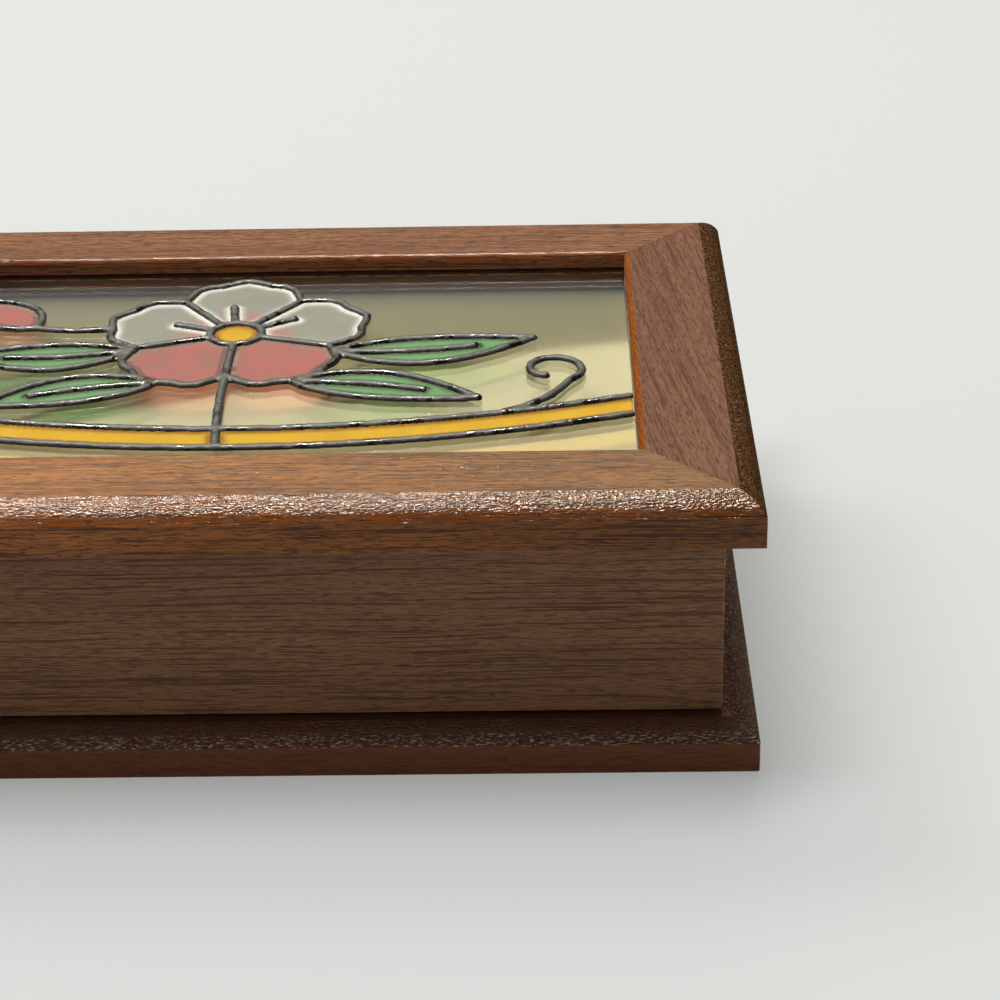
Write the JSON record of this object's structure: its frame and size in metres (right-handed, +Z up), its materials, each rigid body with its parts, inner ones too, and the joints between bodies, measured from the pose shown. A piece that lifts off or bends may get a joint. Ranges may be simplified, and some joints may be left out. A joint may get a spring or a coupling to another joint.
{
  "type": "jewellery chest",
  "caption": "Wooden jewellery chest: mitred case on a moulded plinth, velvet-lined with ring rolls, and a hinged lid that frames a leaded flower picture on glass.",
  "frame": {"origin": "middle of the plinth's outline, on the surface that the chest stands on", "axes": "+X to the chest's right side, +Y to its back where the hinges are, +Z up"},
  "size_m": [0.19, 0.134, 0.0552],
  "materials": {
    "frame_wood": "brown stain under a satin varnish, open grain, for the lid frame, glazing beads and plinth",
    "case_wood": "darker reddish-brown stain, satin, grain along each board",
    "panel_wood": "plain thin plywood, unvarnished",
    "clear_glass": "clear, polished",
    "lead_grey": "dark grey piped relief line, semi-gloss",
    "cream_card": "plain cream board, matt",
    "velvet": "short dark red pile",
    "felt": "dark brown felt",
    "brass": "plain brass, lightly worn",
    "white_enamel": "translucent white glass paint, glossy",
    "pink_enamel": "translucent pink glass paint, glossy",
    "green_enamel": "translucent green glass paint, glossy",
    "amber_enamel": "translucent amber glass paint, glossy"
  },
  "bodies": {
    "base": {"base_felt": "felt", "board_back": "case_wood", "board_front": "case_wood", "board_left": "case_wood", "board_right": "case_wood", "bottom_panel": "panel_wood", "divider": "velvet", "floor_lining": "velvet", "hinge_left_fixed_leaf": "brass", "hinge_left_fixed_screw_1": "brass", "hinge_left_fixed_screw_2": "brass", "hinge_left_pin": "brass", "hinge_right_fixed_leaf": "brass", "hinge_right_fixed_screw_1": "brass", "hinge_right_fixed_screw_2": "brass", "hinge_right_pin": "brass", "plinth_back": "frame_wood", "plinth_front": "frame_wood", "plinth_left": "frame_wood", "plinth_right": "frame_wood", "ring_roll_1": "velvet", "ring_roll_2": "velvet", "ring_roll_3": "velvet", "ring_roll_4": "velvet", "wall_lining_back": "velvet", "wall_lining_front": "velvet", "wall_lining_left": "velvet", "wall_lining_right": "velvet"},
    "lid": {"backing_board": "cream_card", "enamel_bud": "pink_enamel", "enamel_leaf_left_lower": "green_enamel", "enamel_leaf_left_upper": "green_enamel", "enamel_leaf_right_lower": "green_enamel", "enamel_leaf_right_upper": "green_enamel", "enamel_petal_1": "white_enamel", "enamel_petal_2": "white_enamel", "enamel_petal_3": "pink_enamel", "enamel_petal_4": "pink_enamel", "enamel_petal_5": "white_enamel", "enamel_ribbon_left": "amber_enamel", "enamel_ribbon_right": "amber_enamel", "enamel_throat": "amber_enamel", "glass_pane": "clear_glass", "glazing_bead_back": "frame_wood", "glazing_bead_front": "frame_wood", "glazing_bead_left": "frame_wood", "glazing_bead_right": "frame_wood", "hinge_left_moving_leaf": "brass", "hinge_left_moving_screw_1": "brass", "hinge_left_moving_screw_2": "brass", "hinge_right_moving_leaf": "brass", "hinge_right_moving_screw_1": "brass", "hinge_right_moving_screw_2": "brass", "leading": "lead_grey", "lid_lining": "velvet", "lid_rail_back": "frame_wood", "lid_rail_front": "frame_wood", "lid_rail_left": "frame_wood", "lid_rail_right": "frame_wood"}
  },
  "joints": [
    {"name": "lid_hinge", "type": "hinge", "parent": "base", "child": "lid", "pos_m": [0, 0.0622, 0.04565], "axis": [-1, 0, 0], "range_deg": [0, 110]}
  ]
}
